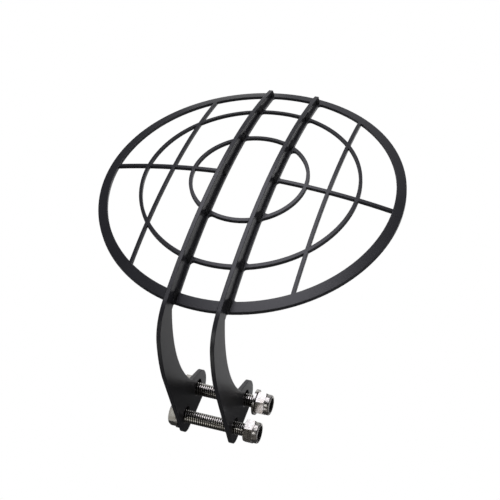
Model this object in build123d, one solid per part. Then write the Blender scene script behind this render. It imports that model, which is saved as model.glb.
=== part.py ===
from build123d import *
import math
import os

# A guard for a round motorcycle headlamp: a domed, pierced steel grille, two plate ribs that run
# up its face and sweep back under the lamp as arms, and two bolts across the ends of the arms.
# The grille faces -Y, +X is to the right as seen from the front, and +Z is up. The origin is
# midway between the arms and midway between their two bolt holes. Sizes are in millimetres.

# Grille: one laser-cut sheet, pressed to a dome that bends a little more from top to bottom
ring_dia = 190.0
outer_ring_w = 6.1
middle_ring_dia = 137.0
inner_ring_dia = 74.0
bar_w = 2.2
upright_bar_x = 49.8
strip_w = 5.3
strip_corner_r = 1.9
sheet_t = 2.1
dome_r_tall = 302.0
dome_r_wide = 374.0
face_reach = 105.4
ring_drop = 5.2

# Ribs and arms: two equal plates, each a rib on the face and an arm under the lamp
plate_t = 2.5
rib_pitch = 32.0
rib_proud = 7.6
rib_front_r = 300.0
rib_crest_drop = 12.0
rib_top_inset = 3.3
rib_nose_r = 1.5
rib_bed = 1.0
arm_top_r = 85.5
arm_depth = 17.7
arm_low_y = -54.0
arm_top_z = -3.9
arm_bend_r = 25.6
rim_overrun = 2.7
ear_root_y = -14.8
ear_root_r = 4.0
pad_rear = 13.9
pad_head = 12.9
ear_r = 11.5
pad_foot = 7.8
foot_r = 8.0
hole_pitch = 21.0
hole_dia = 10.6

# Bolts, washers and lock nuts
bolt_dia = 8.0
bolt_len = 50.0
bolt_tip = 1.0
bolt_seat = 0.1
hex_af = 13.0
hex_face_dia = 12.4
hex_bevel_angle = 30.0
head_h = 5.3
head_turn = 10.0
washer_od = 16.0
washer_id = 8.4
washer_t = 1.4
upper_nut_turn = 30.0
lower_nut_turn = 24.0
nut_hex_h = 6.2
nut_h = 9.2
nut_collar_dia = 12.8
nut_collar_bevel = 0.8
nut_wall = 0.9
nut_lip = 0.6
nut_mouth_dia = 9.5
upper_nut_gap = 6.6
lower_nut_gap = 7.4

# Places worked out from the sizes above
ring_r = ring_dia / 2
lamp_z = ring_r + ring_drop
rib_x = rib_pitch / 2
arm_face_x = rib_x + plate_t / 2
arm_centre = (arm_low_y, arm_top_z + arm_top_r)
arm_low_r = arm_top_r + arm_depth
dome_centre = (dome_r_tall - face_reach, lamp_z)
rib_crest_y = -face_reach - rib_proud
front_centre = (rib_crest_y + rib_front_r, lamp_z - rib_crest_drop)
upper_hole_z = hole_pitch / 2
lower_hole_z = -hole_pitch / 2
ear_centre = (pad_rear - ear_r, upper_hole_z + pad_head - ear_r)
foot_centre = (pad_rear - foot_r, lower_hole_z - pad_foot + foot_r)
bolt_sag = (hole_dia - bolt_dia) / 2 - bolt_seat
head_seat_x = -arm_face_x - washer_t
hex_corner_r = hex_af / math.sqrt(3)
hex_bevel = (hex_corner_r - hex_face_dia / 2) * math.tan(math.radians(hex_bevel_angle))


def on_circle(centre, radius, z):
    """Front point of a circle in the YZ plane at height z."""
    return (centre[0] - math.sqrt(radius**2 - (z - centre[1]) ** 2), z)


def crossing(centre_a, radius_a, centre_b, radius_b):
    """Lower crossing of two circles in the YZ plane."""
    dy = centre_b[0] - centre_a[0]
    dz = centre_b[1] - centre_a[1]
    apart = math.hypot(dy, dz)
    along = (radius_a**2 - radius_b**2 + apart**2) / (2 * apart)
    aside = math.sqrt(radius_a**2 - along**2)
    foot = (centre_a[0] + along * dy / apart, centre_a[1] + along * dz / apart)
    ends = [(foot[0] + s * aside * dz / apart, foot[1] - s * aside * dy / apart) for s in (-1, 1)]
    return min(ends, key=lambda point: point[1])


def at_angle(centre, radius, angle):
    """Point of a circle in the YZ plane, at an angle from +Y towards +Z."""
    return (centre[0] + radius * math.cos(angle), centre[1] + radius * math.sin(angle))


def face_prism(outline):
    """A flat outline, drawn as seen from the front, carried through the whole dome."""
    return extrude(Plane.XZ * Pos(0, lamp_z) * outline, 2 * face_reach)


def dome_shell():
    """The pressed sheet as a whole disc, before it is pierced."""
    arcs = Circle(dome_r_tall) - Circle(dome_r_tall - sheet_t)
    window = Pos(-dome_r_tall, 0) * Rectangle(dome_r_tall, 2 * ring_dia)
    section = Plane.YZ * Pos(*dome_centre) * (arcs & window)
    axis = Axis((0, dome_r_wide - face_reach, 0), (0, 0, 1))
    half_turn = 2 * math.degrees(math.asin(ring_r / dome_r_wide))
    shell = revolve(section.rotate(axis, -half_turn), axis, 2 * half_turn)
    return shell & face_prism(Circle(ring_r))


def grille_outline():
    disc = Circle(ring_r)
    sheet = disc - Circle(ring_r - outer_ring_w)
    for dia in (middle_ring_dia, inner_ring_dia):
        sheet += Circle(dia / 2) - Circle(dia / 2 - bar_w)
    level_len = ring_r - outer_ring_w / 2 - rib_x
    for side in (-1, 1):
        sheet += disc & (Pos(side * upright_bar_x, 0) * Rectangle(bar_w, ring_dia))
        sheet += disc & (Pos(side * rib_x, 0) * Rectangle(strip_w, ring_dia))
        sheet += Pos(side * (rib_x + level_len / 2), 0) * Rectangle(level_len, bar_w)
    half_w = strip_w / 2
    inner_r = ring_r - outer_ring_w / 2
    corners = [
        corner
        for corner in sheet.vertices()
        if math.isclose(abs(abs(corner.X) - rib_x), half_w, rel_tol=0.001)
        and math.hypot(corner.X, corner.Y) < inner_r
    ]
    return fillet(corners, strip_corner_r)


def rib_outline():
    """Rib and arm in side view, with its bed sunk under the dome's front face."""
    bed_r = dome_r_tall - rib_bed
    top_z = lamp_z + ring_r - rib_top_inset
    bed_end = on_circle(dome_centre, bed_r, lamp_z - ring_r - rim_overrun)
    bed_top = on_circle(dome_centre, bed_r, top_z)
    bed_mid = on_circle(dome_centre, bed_r, lamp_z)
    front_top = on_circle(front_centre, rib_front_r, top_z)
    front_mid = on_circle(front_centre, rib_front_r, lamp_z)
    knee = crossing(front_centre, rib_front_r, arm_centre, arm_low_r)
    arm_low = (arm_low_y, arm_top_z - arm_depth)
    ear_root = (ear_root_y, arm_centre[1] - math.sqrt(arm_top_r**2 - (ear_root_y - arm_low_y) ** 2))
    ear_y = ear_root[0] - ear_centre[0]
    ear_z = ear_root[1] - ear_centre[1]
    lean = math.acos(ear_r / math.hypot(ear_y, ear_z))
    touch = (math.atan2(ear_z, ear_y) - lean) % math.tau
    ear_start, ear_top, ear_end = (at_angle(ear_centre, ear_r, touch * part) for part in (1, 0.5, 0))
    foot_start, foot_mid, foot_end = (
        at_angle(foot_centre, foot_r, -math.pi / 2 * part) for part in (1, 0.5, 0)
    )
    edges = [
        ThreePointArc(bed_end, bed_mid, bed_top),
        Line(bed_top, front_top),
        ThreePointArc(front_top, front_mid, knee),
        RadiusArc(knee, arm_low, -arm_low_r),
        Line(arm_low, foot_start),
        ThreePointArc(foot_start, foot_mid, foot_end),
        Line(foot_end, ear_end),
        ThreePointArc(ear_end, ear_top, ear_start),
        Line(ear_start, ear_root),
        RadiusArc(ear_root, bed_end, arm_top_r),
    ]
    face = make_face(edges)

    def near(point):
        return face.vertices().sort_by_distance((point[0], point[1], 0))[0]

    face = fillet(near(knee), arm_bend_r)
    face = fillet(near(ear_root), ear_root_r)
    return fillet(near(front_top), rib_nose_r)


def rib(side):
    outline = rib_outline()
    for z in (upper_hole_z, lower_hole_z):
        outline -= Pos(0, z) * Circle(hole_dia / 2)
    plate = extrude(Plane.YZ.offset(side * rib_x - plate_t / 2) * outline, plate_t)
    return plate - dome_shell()


def turned(points):
    """A body turned about the X axis from a half section of (along, radius) points."""
    return revolve(make_face(Polyline(*points, close=True)), Axis.X)


def hexagon(length, turn):
    section = Plane.YZ * Rot(0, 0, turn) * RegularPolygon(hex_af / 2, 6, major_radius=False)
    return extrude(section, length)


def bolt():
    """A bolt along +X with the underside of its head at the origin."""
    face_r = hex_face_dia / 2
    bevel = turned(
        [
            (-head_h, 0),
            (-head_h, face_r),
            (hex_bevel - head_h, hex_corner_r),
            (0, hex_corner_r),
            (0, 0),
        ]
    )
    head = Pos(-head_h, 0, 0) * hexagon(head_h, head_turn) & bevel
    shank_r = bolt_dia / 2
    shank = turned(
        [
            (-head_h / 2, 0),
            (-head_h / 2, shank_r),
            (bolt_len - bolt_tip, shank_r),
            (bolt_len, shank_r - bolt_tip),
            (bolt_len, 0),
        ]
    )
    return head + shank


def washer():
    ring = Circle(washer_od / 2) - Circle(washer_id / 2)
    return extrude(Plane.YZ * ring, washer_t)


def lock_nut(turn):
    """A nut along +X, its hexagon first and then the collar that holds the insert."""
    face_r = hex_face_dia / 2
    bevel = turned(
        [
            (0, 0),
            (0, face_r),
            (hex_bevel, hex_corner_r),
            (nut_hex_h - hex_bevel, hex_corner_r),
            (nut_hex_h, face_r),
            (nut_hex_h, 0),
        ]
    )
    collar_r = nut_collar_dia / 2
    collar = turned(
        [
            (0, 0),
            (0, collar_r),
            (nut_h - nut_collar_bevel, collar_r),
            (nut_h, collar_r - nut_collar_bevel),
            (nut_h, 0),
        ]
    )
    body = (hexagon(nut_hex_h, turn) & bevel) + collar
    bore = Cylinder(bolt_dia / 2, nut_h)
    mouth = Cylinder(nut_mouth_dia / 2, nut_h)
    to_x = Rot(0, 90, 0)
    body -= Pos(nut_h / 2, 0, 0) * to_x * bore
    body -= Pos(nut_hex_h + nut_h / 2, 0, 0) * to_x * mouth
    return body - nut_cavity()


def nut_cavity():
    depth = nut_h - nut_lip - nut_hex_h
    disc = Plane.YZ.offset(nut_hex_h) * Circle(nut_collar_dia / 2 - nut_wall)
    return extrude(disc, depth)


def nut_insert():
    return nut_cavity() - Rot(0, 90, 0) * Cylinder(bolt_dia / 2, 2 * nut_h)


def fastener(place, hole_z, nut_gap, nut_turn, nut_washer_t):
    """One bolt across both arms, resting in the bottom of its holes, with what is on it."""
    bolt_z = hole_z - bolt_sag
    nut_x = arm_face_x + nut_gap + nut_washer_t
    parts = {
        f"{place}_bolt": Pos(head_seat_x, 0, bolt_z) * bolt(),
        f"{place}_head_washer": Pos(head_seat_x, 0, bolt_z) * washer(),
        f"{place}_lock_nut": Pos(nut_x, 0, bolt_z) * lock_nut(nut_turn),
        f"{place}_nut_insert": Pos(nut_x, 0, bolt_z) * nut_insert(),
    }
    if nut_washer_t > 0:
        parts[f"{place}_nut_washer"] = Pos(nut_x - nut_washer_t, 0, bolt_z) * washer()
    return parts


def main():
    os.makedirs("parts", exist_ok=True)
    parts = {"grille": dome_shell() & face_prism(grille_outline())}
    parts["left_rib"] = rib(-1)
    parts["right_rib"] = rib(1)
    parts.update(fastener("upper", upper_hole_z, upper_nut_gap, upper_nut_turn, washer_t))
    parts.update(fastener("lower", lower_hole_z, lower_nut_gap, lower_nut_turn, 0))
    for name, solid in parts.items():
        export_step(solid, f"parts/{name}.step")


main()
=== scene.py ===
import math

import bmesh
import bpy
from mathutils import Matrix, Quaternion, Vector


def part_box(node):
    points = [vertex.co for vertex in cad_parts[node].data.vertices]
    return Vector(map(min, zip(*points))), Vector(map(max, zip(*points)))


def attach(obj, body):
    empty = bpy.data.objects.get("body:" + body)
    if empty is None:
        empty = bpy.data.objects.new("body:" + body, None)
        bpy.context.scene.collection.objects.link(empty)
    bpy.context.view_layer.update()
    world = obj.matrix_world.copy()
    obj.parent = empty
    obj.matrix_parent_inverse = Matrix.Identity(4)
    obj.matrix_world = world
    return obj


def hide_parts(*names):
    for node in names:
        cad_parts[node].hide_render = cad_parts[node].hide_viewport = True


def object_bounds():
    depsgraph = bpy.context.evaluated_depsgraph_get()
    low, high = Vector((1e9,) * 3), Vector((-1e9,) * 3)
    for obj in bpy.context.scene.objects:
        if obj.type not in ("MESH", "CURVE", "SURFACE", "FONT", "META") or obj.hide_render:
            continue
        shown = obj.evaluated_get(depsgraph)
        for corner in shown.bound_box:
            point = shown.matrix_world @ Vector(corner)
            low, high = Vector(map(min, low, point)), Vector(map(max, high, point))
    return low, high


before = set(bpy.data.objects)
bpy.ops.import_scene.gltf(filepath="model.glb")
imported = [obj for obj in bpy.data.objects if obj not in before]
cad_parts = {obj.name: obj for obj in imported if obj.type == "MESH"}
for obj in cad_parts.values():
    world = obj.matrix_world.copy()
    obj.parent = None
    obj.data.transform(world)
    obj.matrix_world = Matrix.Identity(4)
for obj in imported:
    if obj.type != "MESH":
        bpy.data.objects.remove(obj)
cad_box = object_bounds()

# The grille is one laser-cut steel sheet, pressed to a shallow dome: three rings, two upright bars,
# a level bar in two halves and the two strips that carry the ribs. It is powder coated satin black.
mm = 0.001


def srgb(code):
    """Linear colour of an sRGB hex value."""
    parts = [int(code[i : i + 2], 16) / 255 for i in (1, 3, 5)]
    return (*[c / 12.92 if c <= 0.04045 else ((c + 0.055) / 1.055) ** 2.4 for c in parts], 1.0)


def add(tree, kind, inputs=None, **settings):
    """Add a node with its settings. An input is given a value or the socket that feeds it."""
    node = tree.nodes.new(kind)
    for name, value in settings.items():
        setattr(node, name, value)
    for name, value in (inputs or {}).items():
        if isinstance(value, bpy.types.NodeSocket):
            tree.links.new(value, node.inputs[name])
        else:
            node.inputs[name].default_value = value
    return node


def new_material(name):
    """An empty node material, with its tree and its Object coordinates."""
    material = bpy.data.materials.new(name)
    material.use_nodes = True
    material.node_tree.nodes.clear()
    place = add(material.node_tree, "ShaderNodeTexCoord").outputs["Object"]
    return material, material.node_tree, place


# Polyester powder coat, sprayed and baked: near black, satin, with a faint orange peel and rounded edges
coat_black = srgb("#1b1b1e")
coat_grey = srgb("#28282c")
coat_cloud = 22 * mm
coat_peel = 1.3 * mm
coat_peel_depth = 0.02 * mm
coat_edge = 0.6 * mm
coat_rough_least = 0.28
coat_rough_most = 0.36

powder_coat, tree, place = new_material("satin_black_powder_coat")
cloud = add(tree, "ShaderNodeTexNoise", {"Vector": place, "Scale": 1 / coat_cloud, "Detail": 4.0})
peel = add(tree, "ShaderNodeTexNoise", {"Vector": place, "Scale": 1 / coat_peel, "Detail": 2.0})
tint = add(
    tree,
    "ShaderNodeMix",
    {"Factor": cloud.outputs["Fac"], "A": coat_black, "B": coat_grey},
    data_type="RGBA",
)
gloss = add(
    tree,
    "ShaderNodeMapRange",
    {"Value": cloud.outputs["Fac"], "To Min": coat_rough_least, "To Max": coat_rough_most},
)
edge = add(tree, "ShaderNodeBevel", {"Radius": coat_edge}, samples=6)
bump = add(
    tree,
    "ShaderNodeBump",
    {"Height": peel.outputs["Fac"], "Distance": coat_peel_depth, "Normal": edge.outputs["Normal"]},
)
shader = add(
    tree,
    "ShaderNodeBsdfPrincipled",
    {
        "Base Color": tint.outputs["Result"],
        "Roughness": gloss.outputs["Result"],
        "Normal": bump.outputs["Normal"],
    },
)
add(tree, "ShaderNodeOutputMaterial", {"Surface": shader.outputs["BSDF"]})


def coat(node, material):
    """Give a CAD node a better material in its own slots."""
    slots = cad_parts[node].data.materials
    slots.clear()
    slots.append(material)


coat("grille", powder_coat)

# The ribs and arms are two equal plates, laser cut and set on edge on the face of the grille. They are
# welded to it and coated with it.
for node in ("left_rib", "right_rib"):
    coat(node, powder_coat)

# The welds are short beads in the corners where the ribs cross the rings and the level bar, laid as rows of
# overlapping drops that climb the ribs' sides. They are steel under the same coat, which is dull on them;
# their colour is painted darker, as painted shade in those corners. A node tree sets the drops along lines.
ring_r = 95.0 * mm
outer_ring_w = 6.1 * mm
middle_ring_r = 68.5 * mm
inner_ring_r = 37.0 * mm
bar_w = 2.2 * mm
dome_r_tall = 302.0 * mm
dome_r_wide = 374.0 * mm
weld_overrun = 1.2 * mm
weld_top = 1.8 * mm
weld_foot = 6.5 * mm
weld_rise = 1.2 * mm
drop_pitch = 0.9 * mm
drop_r = 1.6 * mm
drop_least = (0.7, 1.2, 0.8)
drop_most = (0.85, 1.7, 1.1)
drop_seed = 4

# The coat over the welds' ripples: thin and dull, and painted darker than on the plates as painted shade
weld_shade_black = srgb("#0b0b0c")
weld_shade_grey = srgb("#19191b")
weld_ripple = 1.5 * mm
weld_rough_least = 0.5
weld_rough_most = 0.7

# Painted shade: the welds' coat is darker than the plates' coat, standing for the shade in the corners.
weld_coat_and_shade, tree, place = new_material("dull_coat_and_painted_shade_on_welds")
ripple = add(tree, "ShaderNodeTexNoise", {"Vector": place, "Scale": 1 / weld_ripple, "Detail": 2.0})
tint = add(
    tree,
    "ShaderNodeMix",
    {"Factor": ripple.outputs["Fac"], "A": weld_shade_black, "B": weld_shade_grey},
    data_type="RGBA",
)
gloss = add(
    tree,
    "ShaderNodeMapRange",
    {"Value": ripple.outputs["Fac"], "To Min": weld_rough_least, "To Max": weld_rough_most},
)
shader = add(
    tree,
    "ShaderNodeBsdfPrincipled",
    {"Base Color": tint.outputs["Result"], "Roughness": gloss.outputs["Result"]},
)
add(tree, "ShaderNodeOutputMaterial", {"Surface": shader.outputs["BSDF"]})

grille_low, grille_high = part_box("grille")
lamp_z = (grille_low.z + grille_high.z) / 2


def face_point(x, z):
    """Point of the dome's front face, at a height from the lamp's middle."""
    across = dome_r_wide - dome_r_tall + math.sqrt(dome_r_tall**2 - z**2)
    back = math.sqrt(across**2 - x**2)
    return Vector((x, grille_low.y + dome_r_wide - back, lamp_z + z))


def weld_spans(x):
    """Heights of the welds on one side of a rib, as pairs of a lower and an upper end."""
    spans = [(-bar_w / 2 - weld_overrun, bar_w / 2 + weld_overrun)]
    for radius in (inner_ring_r, middle_ring_r):
        low = math.sqrt((radius - bar_w) ** 2 - x**2) - weld_overrun
        high = math.sqrt(radius**2 - x**2) + weld_overrun
        spans += [(low, high), (-high, -low)]
    rim = math.sqrt((ring_r - outer_ring_w) ** 2 - x**2)
    return [*spans, (rim, rim + weld_top), (-rim - weld_foot, -rim)]


lines = bmesh.new()
for node in ("left_rib", "right_rib"):
    low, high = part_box(node)
    for x in (low.x, high.x):
        for span in weld_spans(x):
            ends = [lines.verts.new(face_point(x, z) - Vector((0, weld_rise, 0))) for z in span]
            lines.edges.new(ends)
mesh = bpy.data.meshes.new("weld_beads")
lines.to_mesh(mesh)
lines.free()
welds = bpy.data.objects.new("weld_beads", mesh)
bpy.context.scene.collection.objects.link(welds)

tree = bpy.data.node_groups.new("weld_drops", "GeometryNodeTree")
tree.interface.new_socket("Geometry", in_out="INPUT", socket_type="NodeSocketGeometry")
tree.interface.new_socket("Geometry", in_out="OUTPUT", socket_type="NodeSocketGeometry")
sizes = {}
for name, value in (("Drop Pitch", drop_pitch), ("Drop Radius", drop_r)):
    socket = tree.interface.new_socket(name, in_out="INPUT", socket_type="NodeSocketFloat")
    sizes[socket.identifier] = value
given = add(tree, "NodeGroupInput").outputs
path = add(tree, "GeometryNodeMeshToCurve", {"Mesh": given["Geometry"]})
path = add(
    tree,
    "GeometryNodeResampleCurve",
    {"Curve": path.outputs["Curve"], "Length": given["Drop Pitch"]},
    mode="LENGTH",
)
drop = add(tree, "GeometryNodeMeshIcoSphere", {"Radius": given["Drop Radius"], "Subdivisions": 2})
swell = add(
    tree,
    "FunctionNodeRandomValue",
    {0: drop_least, 1: drop_most, "Seed": drop_seed},
    data_type="FLOAT_VECTOR",
)
drops = add(
    tree,
    "GeometryNodeInstanceOnPoints",
    {"Points": path.outputs["Curve"], "Instance": drop.outputs["Mesh"], "Scale": swell.outputs[0]},
)
drops = add(tree, "GeometryNodeRealizeInstances", {"Geometry": drops.outputs["Instances"]})
drops = add(tree, "GeometryNodeSetShadeSmooth", {"Geometry": drops.outputs["Geometry"]})
drops = add(tree, "GeometryNodeSetMaterial", {"Geometry": drops.outputs["Geometry"], "Material": weld_coat_and_shade})
add(tree, "NodeGroupOutput", {"Geometry": drops.outputs["Geometry"]})

modifier = welds.modifiers.new("weld_drops", "NODES")
modifier.node_group = tree
for identifier, value in sizes.items():
    modifier[identifier] = value
solved = welds.evaluated_get(bpy.context.evaluated_depsgraph_get())
mesh = bpy.data.meshes.new_from_object(solved)
welds.modifiers.remove(modifier)
welds.data = mesh
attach(welds, "root")

# The bolts are M8 hexagon bolts, threaded to the head, in bright zinc plate. They lie in the bottom of
# the arms' holes, with nothing between the arms to clamp. The thread's real pitch is 1.25 mm: it is drawn
# a little coarser, with broad crests, so that it shows in the render.
bolt_r = 4.0 * mm
bolt_pitch = 1.35 * mm
thread_depth = 0.6 * mm
bolt_end_r = 3.0 * mm
hex_across = 13.0 * mm
hex_face_r = 6.2 * mm
hex_corner_r = hex_across / math.sqrt(3)
hex_bevel_slope = 30
hex_bevel_steps = 6
hex_bevel = (hex_corner_r - hex_face_r) * math.tan(math.radians(hex_bevel_slope))
head_turn = 10
turn_steps = 48
merge_within = 0.002 * mm
# The thread over one pitch, from crest to root: shares of the pitch and of the depth
thread_outline = ((0.0, 0.0), (0.42, 0.0), (0.58, 1.0), (0.84, 1.0))

# Zinc plate on turned and pressed steel, passivated: a bright, slightly warm metal with a fine mottle and
# painted shade in the threads' roots. Its grain is finer than a pixel and is drawn coarser, so that it
# shows.
zinc_pale = srgb("#dcdcdb")
zinc_warm = srgb("#a39a8c")
zinc_root_shade = srgb("#4a463f")
zinc_mottle = 2.5 * mm
zinc_grain = 0.9 * mm
zinc_grain_depth = 0.01 * mm
zinc_rough_least = 0.14
zinc_rough_most = 0.26

zinc, tree, place = new_material("bright_zinc_plate")
mottle = add(tree, "ShaderNodeTexNoise", {"Vector": place, "Scale": 1 / zinc_mottle, "Detail": 3.0})
grain = add(tree, "ShaderNodeTexNoise", {"Vector": place, "Scale": 1 / zinc_grain, "Detail": 1.0})
tint = add(
    tree,
    "ShaderNodeMix",
    {"Factor": mottle.outputs["Fac"], "A": zinc_pale, "B": zinc_warm},
    data_type="RGBA",
)
root = add(tree, "ShaderNodeAttribute", attribute_name="root")
# Painted shade: the threads' roots are drawn darker where they lie deep.
root_shaded = add(
    tree,
    "ShaderNodeMix",
    {"Factor": root.outputs["Fac"], "A": tint.outputs["Result"], "B": zinc_root_shade},
    data_type="RGBA",
)
gloss = add(
    tree,
    "ShaderNodeMapRange",
    {"Value": mottle.outputs["Fac"], "To Min": zinc_rough_least, "To Max": zinc_rough_most},
)
bump = add(tree, "ShaderNodeBump", {"Height": grain.outputs["Fac"], "Distance": zinc_grain_depth})
shader = add(
    tree,
    "ShaderNodeBsdfPrincipled",
    {
        "Base Color": root_shaded.outputs["Result"],
        "Metallic": 1.0,
        "Roughness": gloss.outputs["Result"],
        "Normal": bump.outputs["Normal"],
    },
)
add(tree, "ShaderNodeOutputMaterial", {"Surface": shader.outputs["BSDF"]})


def finish_mesh(bm, name, material, smooth_angle=30):
    """Close a bmesh into a named object with outward faces and one material."""
    bmesh.ops.remove_doubles(bm, verts=bm.verts, dist=merge_within)
    bmesh.ops.dissolve_degenerate(bm, edges=bm.edges, dist=merge_within)
    bmesh.ops.recalc_face_normals(bm, faces=bm.faces)
    mesh = bpy.data.meshes.new(name)
    bm.to_mesh(mesh)
    bm.free()
    mesh.shade_smooth()
    mesh.set_sharp_from_angle(angle=math.radians(smooth_angle))
    mesh.materials.append(material)
    piece = bpy.data.objects.new(name, mesh)
    bpy.context.scene.collection.objects.link(piece)
    return piece


def hex_reach(angle, turn):
    """Distance from the axis to a hexagon's side at an angle from +Y towards +Z."""
    off_corner = (angle - math.radians(turn)) % (math.pi / 3)
    return hex_across / 2 / math.cos(off_corner - math.pi / 6)


def lathe(bm, start, profile, turn):
    """Turn a profile of (along, radius, is hexagon) about +X from a start point."""
    rows = []
    for along, radius, hexed in profile:
        row = []
        for k in range(turn_steps):
            angle = math.radians(turn) + k * math.tau / turn_steps
            reach = min(radius, hex_reach(angle, turn)) if hexed else radius
            offset = Vector((along, reach * math.cos(angle), reach * math.sin(angle)))
            row.append(bm.verts.new(start + offset))
        rows.append(row)
    for a, b in zip(rows, rows[1:]):
        for k in range(turn_steps):
            n = (k + 1) % turn_steps
            bm.faces.new((a[k], a[n], b[n], b[k]))


def bevel_rows(along, step):
    """Profile rows of a hexagon's bevel, from its round face towards its corners."""
    shares = [i / hex_bevel_steps for i in range(hex_bevel_steps + 1)]
    rise = hex_corner_r - hex_face_r
    return [(along + step * hex_bevel * share, hex_face_r + rise * share, True) for share in shares]


def thread(bm, start, length):
    """A right-hand thread along +X as one helical skin, from a ring under the head to a bevelled tip."""
    turns = math.ceil(length / bolt_pitch) + 1
    root = bm.verts.layers.float.new("root")
    rows = []
    for turn in range(-1, turns):
        for shift, depth in thread_outline:
            row = []
            for k in range(turn_steps):
                along = (turn + shift + k / turn_steps) * bolt_pitch
                along = min(max(along, 0.0), length)
                reach = bolt_r - depth * thread_depth
                reach = min(reach, bolt_end_r + length - along)
                if along == 0.0:
                    reach = bolt_end_r
                angle = math.radians(head_turn) + k * math.tau / turn_steps
                offset = Vector((along, reach * math.cos(angle), reach * math.sin(angle)))
                vert = bm.verts.new(start + offset)
                vert[root] = depth
                row.append(vert)
            rows.append(row)
    for i, (a, b) in enumerate(zip(rows, rows[1:])):
        for k in range(turn_steps - 1):
            bm.faces.new((a[k], a[k + 1], b[k + 1], b[k]))
        wrap = i + len(thread_outline)
        if wrap + 1 < len(rows):
            bm.faces.new((a[-1], rows[wrap][0], rows[wrap + 1][0], b[-1]))


for side in ("upper", "lower"):
    low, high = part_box(f"{side}_bolt")
    washer_low, washer_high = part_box(f"{side}_head_washer")
    axis_point = (washer_low + washer_high) / 2
    seat = Vector((washer_low.x, axis_point.y, axis_point.z))
    head_h = washer_low.x - low.x
    body = bmesh.new()
    head = [
        (-head_h, 0.0, False),
        *bevel_rows(-head_h, 1),
        (0.0, hex_corner_r, True),
        (0.0, bolt_end_r, False),
    ]
    thread(body, seat, high.x - seat.x)
    lathe(body, seat, head, head_turn)
    tip = seat + Vector((high.x - seat.x, 0, 0))
    lathe(body, tip, [(0.0, bolt_end_r, False), (0.0, 0.0, False)], head_turn)
    bolt = finish_mesh(body, f"{side}_threaded_bolt", zinc)
    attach(bolt, "root")
    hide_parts(f"{side}_bolt")

# The washers are plain rings pressed from sheet steel, in the same zinc plate. One lies under each head and
# one beside the upper nut.
for node in ("upper_head_washer", "lower_head_washer", "upper_nut_washer"):
    coat(node, zinc)

# The lock nuts are zinc-plated hexagons with a thin collar, hollow for a nylon ring and rolled over it. They
# are run on by hand, and the bolts' ends stop short of the rings.
nut_turns = {"upper": 30, "lower": 24}
nut_hex_h = 6.2 * mm
nut_collar_r = 6.4 * mm
nut_hollow_r = 5.5 * mm
nut_roll_r = 1.0 * mm
nut_roll_steps = 6
nut_lip = 0.6 * mm
nut_mouth_r = 4.75 * mm

for side, nut_turn in nut_turns.items():
    low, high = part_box(f"{side}_lock_nut")
    middle = (low + high) / 2
    start = Vector((low.x, middle.y, middle.z))
    nut_h = high.x - low.x
    roll_angles = [math.radians(90 * i / nut_roll_steps) for i in range(nut_roll_steps + 1)]
    rolled = [
        (
            nut_h - nut_roll_r + nut_roll_r * math.sin(angle),
            nut_collar_r - nut_roll_r + nut_roll_r * math.cos(angle),
            False,
        )
        for angle in roll_angles
    ]
    profile = [
        (nut_hex_h, bolt_r, False),
        (0.0, bolt_r, False),
        *bevel_rows(0.0, 1),
        *reversed(bevel_rows(nut_hex_h, -1)),
        (nut_hex_h, nut_collar_r, False),
        *rolled,
        (nut_h, nut_mouth_r, False),
        (nut_h - nut_lip, nut_mouth_r, False),
        (nut_h - nut_lip, nut_hollow_r, False),
        (nut_hex_h, nut_hollow_r, False),
        (nut_hex_h, bolt_r, False),
    ]
    body = bmesh.new()
    lathe(body, start, profile, nut_turn)
    nut = finish_mesh(body, f"{side}_rolled_nut", zinc)
    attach(nut, "root")
    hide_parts(f"{side}_lock_nut")

# The rings in the nuts' collars are moulded of nylon and pressed in before the collars are rolled over them.
# Moulded nylon gives the eye a dull, near black ring in each nut's mouth.
nylon_dark = srgb("#0c0c0d")
nylon_grey = srgb("#1b1b1c")
nylon_flow = 0.8 * mm
nylon_rough_least = 0.4
nylon_rough_most = 0.6

nylon, tree, place = new_material("dark_moulded_nylon")
flow = add(tree, "ShaderNodeTexNoise", {"Vector": place, "Scale": 1 / nylon_flow, "Detail": 2.0})
tint = add(
    tree,
    "ShaderNodeMix",
    {"Factor": flow.outputs["Fac"], "A": nylon_dark, "B": nylon_grey},
    data_type="RGBA",
)
gloss = add(
    tree,
    "ShaderNodeMapRange",
    {"Value": flow.outputs["Fac"], "To Min": nylon_rough_least, "To Max": nylon_rough_most},
)
shader = add(
    tree,
    "ShaderNodeBsdfPrincipled",
    {"Base Color": tint.outputs["Result"], "Roughness": gloss.outputs["Result"]},
)
add(tree, "ShaderNodeOutputMaterial", {"Surface": shader.outputs["BSDF"]})

for node in ("upper_nut_insert", "lower_nut_insert"):
    coat(node, nylon)

# The studio: a soft light in front of the object, a pale floor under it, a grey tent round it with an
# opening to a white room at the back, and cards. Only reflections meet the tent and the cards: they shape
# what the black plates and the bright hardware mirror. All sizes in it are in metres.
floor_z = -0.75
floor_size = 12.0
floor_glow_near = 0.9
floor_glow_far = 1.0
floor_fade_from = 1.5
floor_fade_to = 5.0
tent_r = 3.0
tent_open_to = Vector((0.0, 0.72, 0.69)).normalized()
tent_open_angle = 19.5

scene = bpy.context.scene
scene.view_settings.view_transform = "Standard"


def set_stage(bm, name, material):
    """Turn a bmesh into a piece of the studio."""
    mesh = bpy.data.meshes.new(name)
    bm.to_mesh(mesh)
    bm.free()
    mesh.materials.append(material)
    piece = bpy.data.objects.new(name, mesh)
    scene.collection.objects.link(piece)
    return piece


def hide(piece):
    """Leave a piece of the studio to reflections alone."""
    piece.visible_camera = False
    piece.visible_diffuse = False
    piece.visible_transmission = False
    piece.visible_shadow = False


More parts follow.
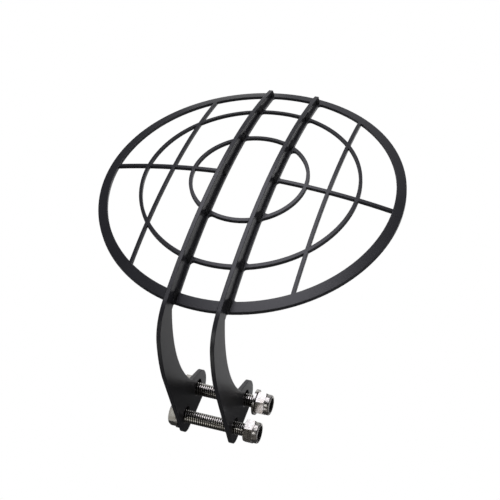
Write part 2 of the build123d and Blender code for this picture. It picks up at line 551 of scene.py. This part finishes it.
# Matt white paper: to the camera it glows, a little less under the object, where it keeps the shadow
paper, tree, place = new_material("pale_floor_paper")
matt = add(tree, "ShaderNodeBsdfDiffuse", {"Color": srgb("#f0f0f0")})
glow = add(tree, "ShaderNodeEmission", {"Color": srgb("#ffffff"), "Strength": 1.0})
path = add(tree, "ShaderNodeLightPath")
away = add(tree, "ShaderNodeVectorMath", {0: place}, operation="LENGTH")
fade = add(
    tree,
    "ShaderNodeMapRange",
    {
        "Value": away.outputs["Value"],
        "From Min": floor_fade_from,
        "From Max": floor_fade_to,
        "To Min": floor_glow_near,
        "To Max": floor_glow_far,
    },
)
share = add(
    tree,
    "ShaderNodeMath",
    {0: path.outputs["Is Camera Ray"], 1: fade.outputs["Result"]},
    operation="MULTIPLY",
)
mixed = add(
    tree,
    "ShaderNodeMixShader",
    {0: share.outputs[0], 1: matt.outputs["BSDF"], 2: glow.outputs["Emission"]},
)
add(tree, "ShaderNodeOutputMaterial", {"Surface": mixed.outputs["Shader"]})
sheet = bmesh.new()
bmesh.ops.create_grid(sheet, size=floor_size / 2, matrix=Matrix.Translation((0, 0, floor_z)))
floor = set_stage(sheet, "floor", paper)
floor.visible_glossy = False

# Grey cloth, dark round the object's height and paler towards the top and the bottom
cloth, tree, place = new_material("grey_tent_cloth")
height = add(tree, "ShaderNodeSeparateXYZ", {"Vector": place}).outputs["Z"]
level = add(tree, "ShaderNodeMapRange", {"Value": height, "From Min": -tent_r, "From Max": tent_r})
shade = add(tree, "ShaderNodeValToRGB", {"Fac": level.outputs["Result"]})
ramp = shade.color_ramp.elements
ramp[0].color = srgb("#747270")
ramp[1].color = srgb("#bcbcc0")
for position, code in ((0.1, "#5c5a58"), (0.22, "#3a3a3c"), (0.6, "#3c3c3e"), (0.85, "#525256")):
    ramp.new(position).color = srgb(code)
glow = add(tree, "ShaderNodeEmission", {"Color": shade.outputs["Color"], "Strength": 1.0})
add(tree, "ShaderNodeOutputMaterial", {"Surface": glow.outputs["Emission"]})
ball = bmesh.new()
bmesh.ops.create_icosphere(ball, subdivisions=5, radius=tent_r)
opening = [
    face
    for face in ball.faces
    if face.calc_center_median().angle(tent_open_to) < math.radians(tent_open_angle)
]
bmesh.ops.delete(ball, geom=opening, context="FACES")
hide(set_stage(ball, "tent", cloth))


def card(name, middle, across, up, code, strength=1.0):
    """A card that only reflections meet, given by its middle and half sides, and clear from behind."""
    paint, tree, _ = new_material(name)
    glow = add(tree, "ShaderNodeEmission", {"Color": srgb(code), "Strength": strength})
    clear = add(tree, "ShaderNodeBsdfTransparent")
    behind = add(tree, "ShaderNodeNewGeometry").outputs["Backfacing"]
    mixed = add(
        tree,
        "ShaderNodeMixShader",
        {0: behind, 1: glow.outputs["Emission"], 2: clear.outputs["BSDF"]},
    )
    add(tree, "ShaderNodeOutputMaterial", {"Surface": mixed.outputs["Shader"]})
    middle, across, up = Vector(middle), Vector(across), Vector(up)
    sheet = bmesh.new()
    corners = [middle + a * across + b * up for a, b in ((-1, -1), (1, -1), (1, 1), (-1, 1))]
    sheet.faces.new([sheet.verts.new(corner) for corner in corners])
    hide(set_stage(sheet, name, paint))


# All cards stand clear of the object. The dark ones keep the arms' ends and the nuts' undersides dark, the
# pale and white ones over and under it light the threads, nuts and heads, and the far ones give the plates
# a sheen on their sides and back.
card("dark_card_behind_arms", (-0.037, 0.08, -0.07), (0.083, 0, 0), (0, 0, 0.13), "#3c3c3c")
card("dark_card_below_nuts", (-0.008, -0.03, -0.15), (0.014, 0, 0), (0, 0.025, 0), "#302c28")
card("white_card_below_nuts", (-0.02, -0.15, -0.14), (0.018, 0, 0), (0, 0.025, -0.025), "#ffffff", 2.0)
card("pale_card_below_bolts", (-0.043, -0.015, -0.15), (0.015, 0, 0), (0, 0.03, 0), "#e4e4e0", 1.5)
card("white_card_over_part", (-0.084, -0.03, 0.27), (-0.048, 0, 0), (0, 0.07, 0), "#ffffff")
card("pale_card_by_heads", (-0.078, -0.09, -0.085), (-0.033, 0, 0), (0, 0, 0.045), "#d8d8d4")
card("left_card", (-1.2, 0.4, 0.2), (0, 0.6, 0), (0, 0, 0.6), "#c8c8cc")
card("right_card", (1.2, 0.4, 0.2), (0, -0.6, 0), (0, 0, 0.6), "#c8c8cc")
card("back_card", (0, 1.5, 0.0), (0.8, 0, 0), (0, 0, 0.35), "#c8c8cc")

# The room is white to the camera and in reflections, and lights the object softly from all round. Each kind
# of ray gets its own part of it, so none is sampled as a lamp.
room_light = 0.5

world = bpy.data.worlds.new("white_room")
scene.world = world
world.use_nodes = True
world.cycles.sampling_method = "NONE"
tree = world.node_tree
tree.nodes.clear()
path = add(tree, "ShaderNodeLightPath")
seen = add(
    tree,
    "ShaderNodeMath",
    {0: path.outputs["Is Camera Ray"], 1: path.outputs["Is Glossy Ray"]},
    operation="MAXIMUM",
)
seen = add(
    tree,
    "ShaderNodeMath",
    {0: seen.outputs[0], 1: path.outputs["Is Transmission Ray"]},
    operation="MAXIMUM",
)
ambient = add(tree, "ShaderNodeBackground", {"Color": srgb("#ffffff"), "Strength": room_light})
white = add(tree, "ShaderNodeBackground", {"Color": srgb("#ffffff"), "Strength": 1.0})
mixed = add(
    tree,
    "ShaderNodeMixShader",
    {0: seen.outputs[0], 1: ambient.outputs["Background"], 2: white.outputs["Background"]},
)
add(tree, "ShaderNodeOutputWorld", {"Surface": mixed.outputs["Shader"]})

# The front light is one tall soft box, turned towards the object and leaning to its left. The camera doesn't
# see it.
light_place = Vector((-0.18, -1.31, 0.55))
light_width = 0.76
light_height = 1.5
light_lean = 18
light_power = 10.0
light_tint = srgb("#f6f5ff")

data = bpy.data.lights.new("front_light", "AREA")
data.shape = "RECTANGLE"
data.size = light_width
data.size_y = light_height
data.energy = light_power
data.color = light_tint[:3]
lamp = bpy.data.objects.new("front_light", data)
lamp.location = light_place
object_middle = (cad_box[0] + cad_box[1]) / 2
aim = (object_middle - light_place).to_track_quat("-Z", "Y")
lamp.rotation_euler = (aim @ Quaternion((0, 0, 1), math.radians(light_lean))).to_euler()
lamp.visible_camera = False
scene.collection.objects.link(lamp)

# The camera stands low in front of the guard, to its right, and looks up and back across it.
camera_place = Vector((186.5, -535.35, -316.0)) * mm
camera_aim = Vector((10.17, -78.35, 64.06)) * mm
camera_up = Vector((-0.1737, -0.6685, 0.7232))
camera_lens = 74.19
camera_near = 10 * mm

data = bpy.data.cameras.new("camera")
data.lens = camera_lens
data.clip_start = camera_near
camera = bpy.data.objects.new("camera", data)
back = (camera_place - camera_aim).normalized()
right = camera_up.cross(back).normalized()
turned = Matrix((right, back.cross(right), back)).transposed()
camera.matrix_world = Matrix.Translation(camera_place) @ turned.to_4x4()
scene.collection.objects.link(camera)
scene.camera = camera
